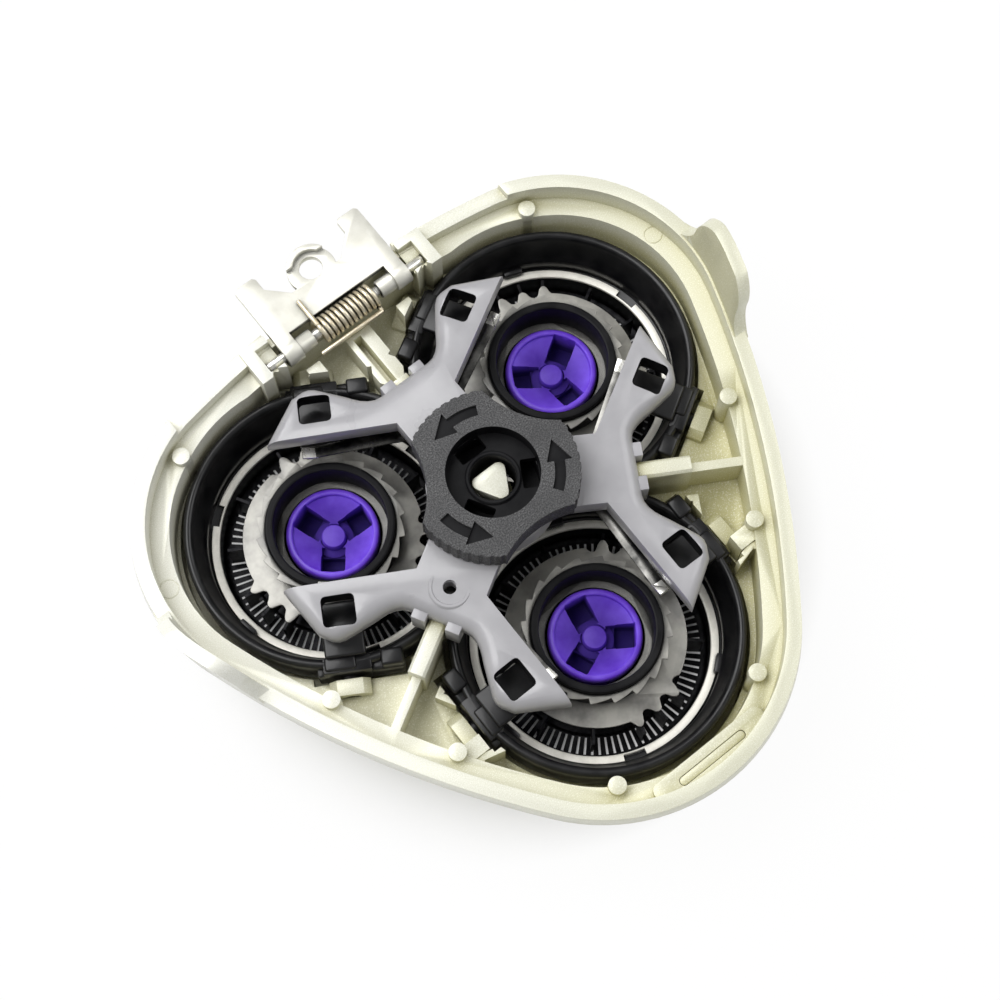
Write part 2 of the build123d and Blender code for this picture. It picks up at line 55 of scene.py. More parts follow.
UNITS = ("1", "2", "3")

# %% [markdown]
# The three cutter units share one design, so a unit is modelled once at the origin and copied. The
# frame tells where each unit's axis is: it is the middle of the box round its cap.
# The mean of the three axes is the axis of the whole head, where the knob turns.


# %% Axes of the units and the head
def centre(node):
    low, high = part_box(node)
    return Vector(((low.x + high.x) / 2, (low.y + high.y) / 2, 0))


AXIS = {n: centre("shaving_cap_" + n) for n in UNITS}
HEAD = (AXIS["1"] + AXIS["2"] + AXIS["3"]) / 3
UNIT_R = (AXIS["1"] - HEAD).length
FACING = {n: math.atan2(AXIS[n].y - HEAD.y, AXIS[n].x - HEAD.x) for n in UNITS}
LOBES = [math.radians(a) for a in (90, -30, 210)]
print("head axis", HEAD, "unit radius", UNIT_R)

# %% [markdown]
# The photograph looks almost straight down, from a little to the left of the front. A camera is placed
# on that line at the same distance, and a small shift puts the knob where it is in the picture.

# %% Camera
AZIMUTH, ELEVATION, DISTANCE = math.radians(-38.29), math.radians(71.61), 184.92 * MM
KNOB_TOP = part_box("lock_knob")[1].z
target = HEAD + Vector((0, 0, KNOB_TOP))
back = Vector((math.cos(ELEVATION) * math.sin(AZIMUTH), -math.cos(ELEVATION) * math.cos(AZIMUTH),
               math.sin(ELEVATION)))
camera_data = bpy.data.cameras.new("camera")
camera_data.sensor_width = 36
camera_data.lens = 64.58
camera_data.shift_x, camera_data.shift_y = 0.00695, -0.0283
camera_data.clip_start = 0.01
camera = bpy.data.objects.new("camera", camera_data)
camera.location = target + back * DISTANCE
camera.rotation_euler = (-back).to_track_quat("-Z", "Y").to_euler()
bpy.context.scene.collection.objects.link(camera)
bpy.context.scene.camera = camera
IMAGE_RIGHT = Vector((math.cos(AZIMUTH), math.sin(AZIMUTH), 0))
print("camera at", camera.location)

# %% [markdown]
# Product pictures like this one are lit by large soft boxes. One big lamp hangs behind the head and to
# the left, where polished metal mirrors it to the camera, and a weaker one fills from the right. Slopes
# that face the camera stay darker, and the lamps are weak enough that the shell isn't plain white.


# %% Lamps
def soft_box(name, place, size, watts):
    lamp = bpy.data.lights.new(name, "AREA")
    lamp.shape = "RECTANGLE"
    lamp.size, lamp.size_y = size
    lamp.energy = watts
    holder = bpy.data.objects.new(name, lamp)
    holder.location = place
    holder.rotation_euler = (target - Vector(place)).to_track_quat("-Z", "Y").to_euler()
    bpy.context.scene.collection.objects.link(holder)


soft_box("behind_left", (-0.14, 0.20, 0.42), (0.46, 0.36), 2.45)
soft_box("fill_right", (0.32, -0.10, 0.30), (0.28, 0.28), 0.65)
print("two lamps")

# %% [markdown]
# A finish is a small tree of nodes. Written with plain operators it reads like a formula, so one class
# wraps a node's output and turns +, - and * into Math nodes, and another one holds the tree of a material.


# %% Shader maths
class Wire:
    def __init__(self, finish, socket):
        self.finish, self.socket = finish, socket

    def maths(self, operation, first, second):
        return self.finish.node("ShaderNodeMath", {"operation": operation}, {0: first, 1: second})

    def __add__(self, other):
        return self.maths("ADD", self, other)

    def __sub__(self, other):
        return self.maths("SUBTRACT", self, other)

    def __rsub__(self, other):
        return self.maths("SUBTRACT", other, self)

    def __mul__(self, other):
        return self.maths("MULTIPLY", self, other)

    def clamped(self, low, high, to_low=0.0, to_high=1.0):
        return self.finish.node("ShaderNodeMapRange", {"clamp": True},
                                {0: self, 1: low, 2: high, 3: to_low, 4: to_high})


class Finish:
    def __init__(self, name, **constants):
        self.material = bpy.data.materials.new(name)
        self.material.use_nodes = True
        self.tree = self.material.node_tree
        self.shader = self.tree.nodes["Principled BSDF"]
        self.set(**constants)
        self.place = self.node("ShaderNodeTexCoord", out="Object")

    def node(self, kind, settings=None, sockets=None, out=0):
        made = self.tree.nodes.new(kind)
        for key, value in (settings or {}).items():
            setattr(made, key, value)
        for key, value in (sockets or {}).items():
            self.feed(made.inputs[key], value)
        return Wire(self, made.outputs[out])

    def feed(self, socket, value):
        if isinstance(value, Wire):
            self.tree.links.new(value.socket, socket)
        else:
            socket.default_value = value

    def set(self, **values):
        for key, value in values.items():
            self.feed(self.shader.inputs[key.replace("_", " ")], value)

    def noise(self, scale, detail=2.0, roughness=0.5):
        return self.node("ShaderNodeTexNoise", None,
                         {"Vector": self.place, "Scale": scale, "Detail": detail, "Roughness": roughness})

    def mix(self, factor, first, second):
        made = self.tree.nodes.new("ShaderNodeMix")
        made.data_type = "RGBA"
        for socket, value in zip((made.inputs[0], made.inputs[6], made.inputs[7]), (factor, first, second)):
            self.feed(socket, value)
        return Wire(self, made.outputs[2])

    def hollow(self, reach):
        return self.node("ShaderNodeAmbientOcclusion", {"samples": 4}, {"Distance": reach}, out="AO")

    def height(self):
        return self.node("ShaderNodeSeparateXYZ", None, {0: self.place}, out="Z")

    def along(self, direction):
        return self.node("ShaderNodeVectorMath", {"operation": "DOT_PRODUCT"}, {0: self.place, 1: direction},
                         out="Value")

    def bump(self, height, strength, distance):
        return self.node("ShaderNodeBump", None, {"Height": height, "Strength": strength, "Distance": distance})


def rgb(red, green, blue):
    return (red, green, blue, 1.0)


print("shader helpers ready")

# %% [markdown]
# The shell is champagne plastic with a pearl lacquer. Flakes a tenth of a millimetre across glitter a
# little. Hollows and creases get painted olive shade, and painted side light keeps the left side nearly
# white while the olive shade grows stronger to the right.


# %% Pearl plastic
def pearl_plastic(name, deeper=0.0):
    finish = Finish(name, Metallic=0.15, IOR=1.5, Coat_Weight=0.2, Coat_Roughness=0.25)
    flakes = finish.noise(8500, 1.0)
    # side_light: painted light that pales the left side and strengthens the painted shade to the right.
    side_light = finish.along(IMAGE_RIGHT).clamped(-26 * MM, 24 * MM)
    # shade: painted olive shade in hollows up to 7 mm deep, and the deeper argument adds more of it.
    shade = 1.0 - finish.hollow(7 * MM).clamped(0.35, 0.95) + deeper
    # crease_shade: painted dark shade along creases about a millimetre deep.
    crease_shade = 1.0 - finish.hollow(1.0 * MM).clamped(0.25, 0.75)
    pale = finish.mix(side_light, rgb(0.80, 0.80, 0.73), rgb(0.68, 0.675, 0.53))
    shaded_tint = finish.mix(shade * (side_light * 0.5 + 0.45), pale, rgb(0.46, 0.43, 0.19))
    crease_shaded = finish.mix(crease_shade * 0.65, shaded_tint, rgb(0.25, 0.23, 0.09))
    dull = finish.mix(flakes.clamped(0.28, 0.45, 0.22, 0.0), crease_shaded, rgb(0.45, 0.43, 0.27))
    sparkle = finish.mix(flakes.clamped(0.55, 0.75, 0.0, 0.5), dull, rgb(0.97, 0.97, 0.92))
    finish.set(Base_Color=sparkle, Roughness=flakes.clamped(0.3, 0.7, 0.32, 0.46),
               Normal=finish.bump(flakes, 0.12, 0.02 * MM))
    return finish.material


# %% [markdown]
# The retaining frame is smooth grey nylon with a soft gloss. The knob beside it is spark-eroded black
# plastic whose grain shows as fine pale speckles under the lamps. The carriers and collars are
# polished black.


# %% Grey and black plastics
def grey_plastic():
    finish = Finish("grey_plastic", IOR=1.5, Coat_Weight=0.25, Coat_Roughness=0.12)
    cloud = finish.noise(220, 3.0)
    colour = finish.mix(cloud.clamped(0.3, 0.7), rgb(0.325, 0.321, 0.336), rgb(0.395, 0.390, 0.406))
    grain = finish.noise(6000, 2.0)
    finish.set(Base_Color=colour, Roughness=cloud.clamped(0.3, 0.7, 0.26, 0.38),
               Normal=finish.bump(grain, 0.05, 0.01 * MM))
    return finish.material


def textured_black_plastic():
    finish = Finish("textured_black_plastic", IOR=1.5)
    grain = finish.noise(6500, 3.0, 0.65)
    worn = finish.noise(300, 2.0)
    speck = finish.mix(worn.clamped(0.3, 0.7), rgb(0.085, 0.085, 0.088), rgb(0.15, 0.15, 0.153))
    colour = finish.mix(grain.clamped(0.42, 0.72), rgb(0.026, 0.026, 0.027), speck)
    finish.set(Base_Color=colour, Roughness=grain.clamped(0.3, 0.7, 0.75, 0.5),
               Normal=finish.bump(grain, 0.6, 0.06 * MM))
    return finish.material


def smooth_black(name, dark, light, rough, coat=0.0, shine=0.5):
    finish = Finish(name, IOR=1.5, Coat_Weight=coat, Coat_Roughness=0.1, Specular_IOR_Level=shine)
    smear = finish.noise(420, 4.0)
    finish.set(Base_Color=finish.mix(smear.clamped(0.35, 0.65), rgb(*dark), rgb(*light)),
               Roughness=smear.clamped(0.35, 0.7, rough[0], rough[1]),
               Normal=finish.bump(smear, 0.03, 0.04 * MM))
    return finish.material


def purple_plastic():
    finish = Finish("purple_plastic", IOR=1.5, Specular_IOR_Level=0.4, Coat_Roughness=0.25)
    cloud = finish.noise(520, 3.0)
    # top: below 3.5 mm the purple turns near black, painted shade in the deep pockets.
    top = finish.height().clamped(3.5 * MM, 6.3 * MM)
    colour = finish.mix(cloud.clamped(0.3, 0.7), rgb(0.135, 0.040, 0.66), rgb(0.215, 0.095, 0.86))
    finish.set(Base_Color=finish.mix(top, rgb(0.012, 0.002, 0.10), colour),
               Roughness=cloud.clamped(0.3, 0.7, 0.34, 0.5) + (1.0 - top) * 0.45, Coat_Weight=top * 0.15,
               Normal=finish.bump(cloud, 0.12, 0.05 * MM))
    return finish.material


# %% [markdown]
# The metals differ in how they were made: drawn stainless for the caps, stamped and ground steel for
# the cutters, zinc-plated sheet for the hinge plate, and hard-drawn wire for its spring. Some get painted
# shade in their crevices. Inside the caps, on the blades and on the crown's wall the steel is painted near
# black as shade, so the shaving slots stand out as bright lines.


# %% Metals
def metal(name, dark, bright, rough, scale=900, bump=0.05, contrast=(0.35, 0.65), crevice_shade=0.0, metallic=1.0):
    finish = Finish(name, Metallic=metallic)
    streak = finish.noise(scale, 4.0, 0.6)
    colour = finish.mix(streak.clamped(*contrast), rgb(*dark), rgb(*bright))
    # crevice_shade darkens hollows within this reach to near black: painted shade.
    if crevice_shade:
        colour = finish.mix(finish.hollow(crevice_shade * MM).clamped(0.45, 0.9), rgb(0.02, 0.02, 0.02), colour)
    finish.set(Base_Color=colour, Roughness=streak.clamped(0.3, 0.7, rough[0], rough[1]),
               Normal=finish.bump(streak, bump, 0.03 * MM))
    return finish.material


FINISHES = {
    "pearl_plastic": pearl_plastic("pearl_plastic"), "grey_plastic": grey_plastic(),
    "textured_black_plastic": textured_black_plastic(), "purple_plastic": purple_plastic(),
    "gloss_black_plastic": smooth_black("gloss_black_plastic", (0.003, 0.003, 0.004), (0.010, 0.010, 0.011),
                                        (0.28, 0.45), 0.12, 0.35),
    "collar_plastic": smooth_black("collar_plastic", (0.004, 0.004, 0.005), (0.012, 0.012, 0.013),
                                   (0.42, 0.6), shine=0.12),
    "plated_steel": metal("plated_steel", (0.72, 0.71, 0.63), (0.82, 0.81, 0.74), (0.42, 0.55), 500, 0.05,
                          (0.3, 0.7), 1.2, 0.6),
    "bright_steel": metal("bright_steel", (0.78, 0.77, 0.71), (0.93, 0.92, 0.88), (0.22, 0.34), crevice_shade=0.5,
                          metallic=0.8),
    "spring_wire": metal("spring_wire", (0.70, 0.60, 0.41), (0.93, 0.86, 0.68), (0.28, 0.42), crevice_shade=0.35,
                         metallic=0.75),
    "spring_strip": metal("spring_strip", (0.03, 0.03, 0.029), (0.26, 0.255, 0.24), (0.2, 0.35), 260),
    "cap_steel": metal("cap_steel", (0.74, 0.72, 0.65), (0.88, 0.86, 0.79), (0.42, 0.58), 700, crevice_shade=0.35,
                       metallic=0.45),
    "cutter_steel": metal("cutter_steel", (0.20, 0.195, 0.185), (0.44, 0.43, 0.395), (0.34, 0.50), 170, 0.2,
                          (0.34, 0.58), 1.2, 0.4),
}
# A copy of the pearl with deeper painted shade, for the wings' inner slopes.
SHADED_PEARL = pearl_plastic("shaded_pearl", 0.45)
# A lit copy of the pearl with no painted hollow shade: painted light for the post's tip.
LIT_PEARL = pearl_plastic("lit_pearl", -1.0)
# Near-black steel for faces that lie in shade: painted shade.
SHADED_STEEL = metal("shaded_steel", (0.006, 0.006, 0.007), (0.022, 0.022, 0.023), (0.35, 0.5), 1500)
SLOT_OF = {part["node"]: part["material_slot"] for part in frame["record"]["subparts"]}
for name, node in nodes.items():
    node.data.materials.clear()
    node.data.materials.append(FINISHES[SLOT_OF[name]])
print(len(FINISHES), "finishes on", len(nodes), "nodes")

# %% [markdown]
# The next pieces are shaped as by hand. Four small tools cover most of it: a chain of edges drawn from
# point to point, a lathe that spins such a chain round the upright axis, a slab that raises a closed
# outline, and a cut that takes one piece out of another. Lengths are given in millimetres.


# %% Hand tools
def start(name, add, **how):
    bpy.ops.object.select_all(action="DESELECT")
    add(**how)
    piece = bpy.context.object
    piece.name = piece.data.name = name
    bpy.ops.object.transform_apply(location=True, rotation=True, scale=True)
    bpy.ops.object.mode_set(mode="EDIT")
    bpy.ops.mesh.select_mode(type="VERT")
    bpy.ops.mesh.select_all(action="SELECT")
    return piece


def done():
    bpy.ops.object.mode_set(mode="OBJECT")
    return bpy.context.object


def chain(name, points):
    piece = start(name, bpy.ops.mesh.primitive_plane_add, size=MM)
    bpy.ops.mesh.merge(type="CENTER")
    points = [Vector(point) * MM for point in points]
    bpy.ops.transform.translate(value=points[0])
    for here, there in zip(points, points[1:]):
        bpy.ops.mesh.extrude_vertices_move(TRANSFORM_OT_translate={"value": there - here})
    bpy.ops.mesh.select_all(action="SELECT")
    return piece


def clean():
    bpy.ops.mesh.select_all(action="SELECT")
    bpy.ops.mesh.remove_doubles(threshold=0.0005 * MM)
    bpy.ops.mesh.normals_make_consistent(inside=False)


def lathe(name, profile, steps=128):
    piece = chain(name, [(r, 0, z) for r, z in profile])
    bpy.ops.mesh.spin(steps=steps, angle=math.tau, center=(0, 0, 0), axis=(0, 0, 1))
    clean()
    done()
    return piece


def slab(name, outline, low, high):
    piece = chain(name, [(x, y, low) for x, y in outline])
    bpy.ops.mesh.edge_face_add()
    bpy.ops.mesh.extrude_region_move(TRANSFORM_OT_translate={"value": (0, 0, (high - low) * MM)})
    clean()
    done()
    return piece


def block(x0, x1, y0, y1, z0, z1, name="block"):
    piece = start(name, bpy.ops.mesh.primitive_cube_add, size=1)
    bpy.ops.transform.resize(value=((x1 - x0) * MM, (y1 - y0) * MM, (z1 - z0) * MM))
    bpy.ops.transform.translate(value=((x0 + x1) / 2 * MM, (y0 + y1) / 2 * MM, (z0 + z1) / 2 * MM))
    done()
    return piece


def drum(radius, z0, z1, steps=64, at=(0, 0), name="drum"):
    piece = start(name, bpy.ops.mesh.primitive_cylinder_add, vertices=steps, radius=radius * MM,
                  depth=(z1 - z0) * MM, location=(at[0] * MM, at[1] * MM, (z0 + z1) / 2 * MM))
    done()
    return piece


def turn(piece, angle):
    piece.data.transform(Matrix.Rotation(angle, 4, "Z"))
    return piece


def again(piece, angle=0.0, name=None):
    twin = piece.copy()
    twin.data = piece.data.copy()
    bpy.context.scene.collection.objects.link(twin)
    if name:
        twin.name = twin.data.name = name
    return turn(twin, angle)


def ring_of(piece, angles):
    return [again(piece, angle) for angle in angles[1:]] + [turn(piece, angles[0])]


def choose(piece):
    bpy.ops.object.select_all(action="DESELECT")
    piece.select_set(True)
    bpy.context.view_layer.objects.active = piece


def apply(piece, kind, **settings):
    choose(piece)
    change = piece.modifiers.new("change", kind)
    for key, value in settings.items():
        setattr(change, key, value)
    bpy.ops.object.modifier_apply(modifier=change.name)
    return piece


def join(pieces):
    choose(pieces[0])
    for piece in pieces:
        piece.select_set(True)
    bpy.ops.object.join()
    return pieces[0]


def combine(piece, tools, operation="DIFFERENCE"):
    for tool in tools if isinstance(tools, list) else [tools]:
        apply(piece, "BOOLEAN", operation=operation, solver="EXACT", object=tool)
        bpy.data.objects.remove(tool)
    return piece


def soften(piece, width, segments=2, angle=35):
    apply(piece, "BEVEL", width=width * MM, segments=segments, limit_method="ANGLE",
          angle_limit=math.radians(angle), harden_normals=False, use_clamp_overlap=True)
    choose(piece)
    bpy.ops.object.shade_smooth_by_angle(angle=math.radians(40))
    return piece


def fit_out(piece, body, slot, *replaced):
    if not piece.data.materials:
        piece.data.materials.append(FINISHES[slot])
    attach(piece, body)
    if replaced:
        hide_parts(*replaced)
    print(piece.name, len(piece.data.polygons), "faces")


def on_units(piece, base, body, slot, turns=(0, 0, 0)):
    for n, extra in zip(UNITS, turns):
        copy = again(piece, FACING[n] + math.radians(extra), base + "_" + n + "_fine")
        copy.data.transform(Matrix.Translation(AXIS[n]))
        fit_out(copy, body + "_" + n, slot, base + "_" + n)
    bpy.data.objects.remove(piece)


print("hand tools ready")

# %% [markdown]
# A shaving cap is drawn from thin stainless sheet: a track with ninety radial slots, a wall, a flange
# that the carrier holds, and a hollow stud in the middle that the cutter turns on. So it is spun as
# one sheet with three steps to a slot, every third face of the track is deleted to open the slots, and
# Solidify then gives the sheet its thickness and closes the slots' walls.

# %% Shaving caps
SLOTS, SLOT_IN, SLOT_OUT = 90, 10.1, 12.0
sheet = [(0.0, 2.95), (1.05, 2.95), (1.13, 2.85), (1.13, 0.75), (1.4, 0.68), (9.3, 0.68), (9.7, 0.55),
         (9.9, 0.2), (SLOT_IN, 0.12), (SLOT_OUT, 0.12), (12.4, 0.14), (12.72, 0.35), (12.82, 0.8),
         (12.82, 3.65), (12.86, 3.8), (12.97, 3.86), (13.6, 3.86)]
cap = lathe("cap", sheet, 3 * SLOTS)
choose(cap)
bpy.ops.object.mode_set(mode="EDIT")
bpy.ops.mesh.select_mode(type="FACE")
bpy.ops.mesh.select_all(action="DESELECT")
bpy.ops.object.mode_set(mode="OBJECT")


def around(face):
    return math.degrees(math.atan2(face.center.y, face.center.x)) % 360


for face in cap.data.polygons:
    reach = face.center.xy.length / MM
    in_track = SLOT_IN < reach < SLOT_OUT and face.center.z < 0.3 * MM
    notch = reach > 13.05 and any(abs(around(face) - a) < 5 for a in (100, 220, 340))
    face.select = (in_track and int(around(face) * 3 * SLOTS / 360) % 3 == 0) or notch
bpy.ops.object.mode_set(mode="EDIT")
bpy.ops.mesh.delete(type="FACE")
done()
apply(cap, "SOLIDIFY", thickness=0.22 * MM, offset=0.0, use_even_offset=True)
cap.data.materials.append(FINISHES["cap_steel"])
cap.data.materials.append(SHADED_STEEL)
# Faces inside the cap below 3.3 mm that face in or up get the near-black steel: painted shade.
for face in cap.data.polygons:
    reach = face.center.xy.length / MM
    facing_in = face.normal.z > 0.2 or face.normal.xy.dot(face.center.xy) < 0
    face.material_index = int(facing_in and 1.3 < reach < 12.85 and face.center.z < 3.3 * MM)
choose(cap)
bpy.ops.object.shade_smooth_by_angle(angle=math.radians(35))
on_units(cap, "shaving_cap", "carrier", "cap_steel")

# %% [markdown]
# The cutter is stamped from bright strip. Its disc has three groups of rounded hooks, its blades are
# bent down into the track, and a thin toothed crown stands round the collar. The disc starts as a
# circle whose points are pulled out or pushed in group by group, and the crown the same way.


# %% Cutter discs
def ring_plate(name, count, shape, low, high, bore):
    piece = start(name, bpy.ops.mesh.primitive_circle_add, vertices=count, radius=MM, fill_type="NGON",
                  location=(0, 0, low * MM))
    bpy.ops.mesh.extrude_region_move(TRANSFORM_OT_translate={"value": (0, 0, (high - low) * MM)})
    clean()
    done()
    for point in piece.data.vertices:
        angle = math.degrees(math.atan2(point.co.y, point.co.x)) % 360
        point.co.xy *= shape(angle)
    return combine(piece, drum(bore, low - 1, high + 1, 96))


def hooks(angle):
    local = (angle + 120) % 120
    tips = {44: 0.95, 58: 0.6, 72: 0.95, 50.5: -0.45, 64.5: -0.45, 78.5: -0.5}
    pull = sum(size * max(0.0, 1 - (abs(local - at) / 4.2) ** 2) for at, size in tips.items())
    return 10.0 + pull


def ratchet(angle):
    step = (angle % 18) / 18
    return 7.5 + 0.65 * (1 - step) if step < 0.93 else 7.5 + 0.65 * (step - 0.93) / 0.07


disc = ring_plate("disc", 240, hooks, 5.2, 5.55, 5.4)
crown = ring_plate("crown", 240, ratchet, 8.75, 9.0, 7.14)
wall = lathe("wall", [(7.14, 5.5), (7.4, 5.5), (7.4, 8.8), (7.14, 8.8), (7.14, 5.5)], 96)
blades = []
for first in (0, 120, 240):
    for at in (-14, 16, 44, 58, 72):
        blade = slab("blade", [(9.2, -0.16), (11.75, -0.16), (11.75, 0.16), (9.2, 0.16)], 2.1, 5.3)
        foot = slab("foot", [(10.5, -0.16), (11.75, -0.16), (11.75, 0.16), (10.5, 0.16)], 0.75, 2.1)
        blades += [turn(part, math.radians(first + at)) for part in (blade, foot)]
# The blades and the crown's wall get the near-black steel: painted shade in the track and under the crown.
for blade in blades + [wall]:
    blade.data.materials.append(SHADED_STEEL)
for plate in (disc, crown):
    plate.data.materials.append(FINISHES["cutter_steel"])
cutter = join([soften(disc, 0.08), soften(crown, 0.05), wall] + blades)
DISC_TURN = (-18, -16, 64)
on_units(cutter, "cutter_disc", "cutter", "cutter_steel", DISC_TURN)

# %% [markdown]
# The black collar is a plain turned tube with a rounded rim.

# %% Cutter collars
collar = lathe("collar", [(6.2, 5.64), (7.1, 5.64), (7.1, 9.6), (6.98, 9.76), (6.8, 9.8), (6.42, 9.8),
                          (6.26, 9.74), (6.2, 9.6), (6.2, 5.64)], 128)
on_units(collar, "cutter_collar", "cutter", "collar_plastic")

# %% [markdown]
# The purple coupler takes the drive: a raised rim, three sectors that slope down to a round button, and
# three deep pockets for the legs of the drive spindle. The body is turned on the lathe and the pockets
# are cut in two depths, so that the button stands on a wider foot.

# %% Drive couplers
coupler = lathe("coupler", [(0.0, 1.9), (4.0, 1.9), (4.9, 2.6), (5.15, 4.6), (5.2, 5.6), (5.12, 6.25),
                            (4.98, 6.42), (4.8, 6.5), (4.55, 6.5), (4.42, 6.4), (4.38, 6.0), (1.55, 4.75),
                            (1.5, 4.2), (0.0, 4.2)], 96)
pocket = block(2.2, 4.36, -1.35, 1.35, 2.6, 8, "pocket")
soften(pocket, 0.15)
step = block(1.2, 2.4, -1.3, 1.3, 3.7, 8, "step")
third = [math.radians(a) for a in (60, 180, 300)]
combine(coupler, ring_of(pocket, third) + ring_of(step, third))
button = lathe("button", [(0.0, 3.2), (2.15, 3.2), (2.15, 3.95), (1.42, 4.15), (1.36, 5.0), (1.22, 5.22),
                          (0.0, 5.26)], 64)
combine(coupler, button, "UNION")
combine(coupler, drum(1.26, 0, 3.1, 48))
soften(coupler, 0.08)
COUPLER_TURN = (60, 23, 112)
on_units(coupler, "drive_coupler", "cutter", "purple_plastic", COUPLER_TURN)

# %% [markdown]
# Each cap sits in a glossy black carrier that tilts on two stub pins. The ring is turned with a rounded
# double lip, then planes slice off the two sides that face the neighbouring units and a round tool
# clears the shell's post. The lugs with the pins are blocks with softened edges, joined to the ring. The
# stop that reaches in from each lug is a guess: something black fills the retaining frame's windows.

# %% Carriers
carrier = lathe("carrier", [(14.05, 3.5), (13.12, 3.4), (13.12, 1.25), (14.3, 0.8), (14.9, 3.6),
                            (15.85, 4.7), (15.9, 9.3), (15.86, 9.6), (15.74, 9.84), (15.5, 9.96),
                            (15.25, 9.94), (15.02, 9.8), (14.88, 9.55), (14.8, 9.2), (14.2, 6.6),
                            (13.95, 6.0), (13.86, 5.8), (13.86, 3.9), (14.05, 3.5)], 160)
choose(carrier)
bpy.ops.object.mode_set(mode="EDIT")
for angle in (math.radians(150), math.radians(210)):
    away = Vector((math.cos(angle), math.sin(angle), 0))
    bpy.ops.mesh.select_all(action="SELECT")
    bpy.ops.mesh.bisect(plane_co=away * 14.85 * MM, plane_no=away, clear_outer=True, use_fill=True)
clean()
done()
combine(carrier, drum(3.2, -1, 20, 48, (-UNIT_R / MM, 0)))
lugs = []
for side in (1, -1):
    cheek = sorted((side * 14.6, side * 16.42))
    stop = sorted((side * 8.9, side * 14.9))
    hook = (side * 15.4 - 0.9, side * 15.4 + 0.9)
    clip = (side * 15.3 - 0.7, side * 15.3 + 0.9)
    lugs.append(soften(block(-2.2, 2.2, *stop, 9.9, 10.8), 0.3, 3))
    lugs.append(soften(block(-2.6, 2.6, *cheek, 4.8, 9.95), 0.25))
    lugs.append(soften(block(-6.1, -2.2, *cheek, 5.4, 8.9), 0.4, 3))
    lugs.append(soften(block(2.2, 3.3, *cheek, 5.4, 8.9), 0.3))
    lugs.append(soften(block(-6.0, -3.6, *hook, 8.5, 10.3), 0.3, 3))
    lugs.append(soften(block(-1.0, 2.4, *clip, 8.5, 10.2), 0.3, 3))
    pin = drum(0.98, 16.0, 18.2, 32)
    pin.data.transform(Matrix.Translation((0, 0, 6.6 * MM)) @ Matrix.Rotation(-side * math.pi / 2, 4, "X"))
    lugs.append(pin)
for angle in (40, 160, 280):
    lugs.append(turn(soften(block(13.3, 14.2, -1.1, 1.1, 4.05, 5.0), 0.2), math.radians(angle)))
soften(carrier, 0.08, 2, 50)
carrier = join([carrier] + lugs)
on_units(carrier, "carrier_ring", "carrier", "gloss_black_plastic")

# %% [markdown]
# The knob is turned a little to lock the retaining frame. It is a thick disc with three
# scooped sides, fine notches for the finger, a recess with three windows and a sleeve in the middle, and
# three arrows pressed into its grainy top. The arrows are smooth, so their faces get the plain black.


# %% Lock knob
def arc(radius, first, last, steps=10):
    return [(radius * math.cos(math.radians(first + (last - first) * k / steps)),
             radius * math.sin(math.radians(first + (last - first) * k / steps))) for k in range(steps + 1)]


RECESS_R, NOTCH_STEP, ARROW_Z = 4.97, 7.2, 19.6
knob = drum(9.15, 16.8, 20.0, 192, name="knob")
combine(knob, [drum(10.8, 15, 22, 160, (AXIS[n] - HEAD).xy / MM) for n in UNITS])
soften(knob, 0.22, 3, 50)
notches = [drum(0.36, 16, 21, 12, arc(9.34, math.degrees(lobe) + k * NOTCH_STEP, 0, 1)[0])
           for lobe in LOBES for k in range(-5, 6)]
combine(knob, join(notches))
combine(knob, drum(RECESS_R, 17.9, 22, 128))
combine(knob, drum(RECESS_R, 10, 16.9, 128))
knob.data.materials.append(FINISHES["textured_black_plastic"])
knob.data.materials.append(FINISHES["collar_plastic"])
windows = [turn(soften(block(3.0, 4.85, -1.6, 1.6, 15, 18.6), 0.2), lobe) for lobe in LOBES]
combine(knob, windows)
for lobe in LOBES:
    shaft = slab("shaft", arc(7.55, -24.5, 2) + arc(6.4, 2, -24.5), ARROW_Z, 22)
    head = slab("head", [arc(5.65, 2, 0, 1)[0], arc(8.35, 2, 0, 1)[0], arc(7.0, 22.5, 0, 1)[0]], ARROW_Z, 22)
    combine(knob, [turn(shaft, lobe), turn(head, lobe)])
skirt = lathe("skirt", [(RECESS_R, 12.6), (5.9, 12.6), (5.9, 16.9), (RECESS_R, 16.9), (RECESS_R, 12.6)], 96)
sleeve = lathe("sleeve", [(2.45, 13.4), (2.95, 13.4), (2.95, 14.2), (5.0, 14.2), (5.0, 14.5), (2.95, 14.5),
                          (2.95, 18.1), (2.8, 18.24), (2.6, 18.24), (2.45, 18.1), (2.45, 13.4)], 96)
combine(knob, drum(2.6, 10, 22, 64))
tabs = [turn(soften(block(5.6, 6.65, -1.7, 1.7, 12.5, 13.3), 0.1), lobe) for lobe in LOBES]
knob = join([knob, skirt, sleeve] + tabs)
knob.data.transform(Matrix.Translation(HEAD))
for face in knob.data.polygons:
    spot = face.center - HEAD
    deep = spot.xy.length < 5.05 * MM and spot.z < 19.7 * MM or abs(spot.z - ARROW_Z * MM) < 0.02 * MM
    face.material_index = int(deep or spot.z < 16.75 * MM)
choose(knob)
bpy.ops.object.shade_smooth_by_angle(angle=math.radians(35))
fit_out(knob, "knob", "textured_black_plastic", "lock_knob")

# %% [markdown]
# The retaining frame is a moulded grey triangle of three lobes. One lobe is drawn in outline, raised,
# and its outer contour gets a big round edge while the straight inner sides stay crisp. The top falls
# five degrees towards the tips. Two windows are cut, and the lobe is copied twice and fused round a ring.

